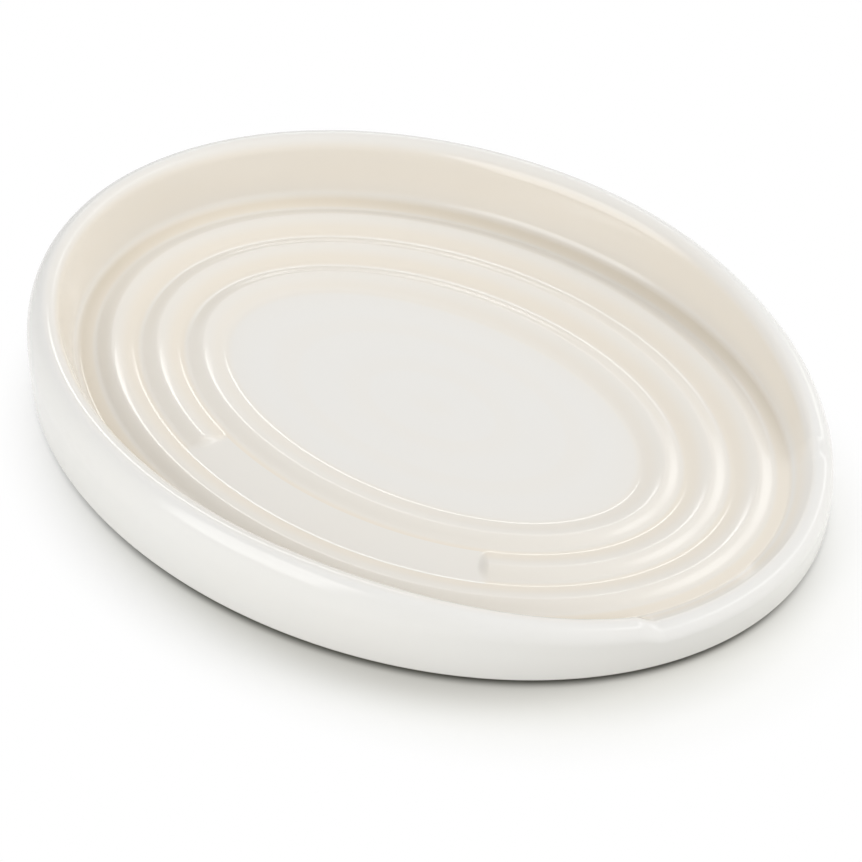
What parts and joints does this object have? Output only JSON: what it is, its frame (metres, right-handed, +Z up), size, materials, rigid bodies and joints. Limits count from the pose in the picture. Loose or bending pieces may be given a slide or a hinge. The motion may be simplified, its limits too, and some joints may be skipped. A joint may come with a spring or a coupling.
{
  "type": "spoon rest",
  "caption": "Oval glazed stoneware spoon rest: a shallow dish with concentric raised rings, a round rim that falls toward one end and a low lip there for the handle.",
  "frame": {"origin": "centre of the oval on the table, at the level of the foot ring", "axes": "+X along the length toward the handle lip, +Y across the width away from the open side of the middle ring, +Z up"},
  "size_m": [0.156, 0.1186, 0.0175],
  "materials": {
    "bare_stoneware": "unglazed fired clay, dry and fine-grained",
    "cream_glaze": "glossy cream-white glaze"
  },
  "bodies": {
    "root": {"stoneware_body": "bare_stoneware", "top_glaze": "cream_glaze", "underside_glaze": "cream_glaze"}
  },
  "joints": []
}
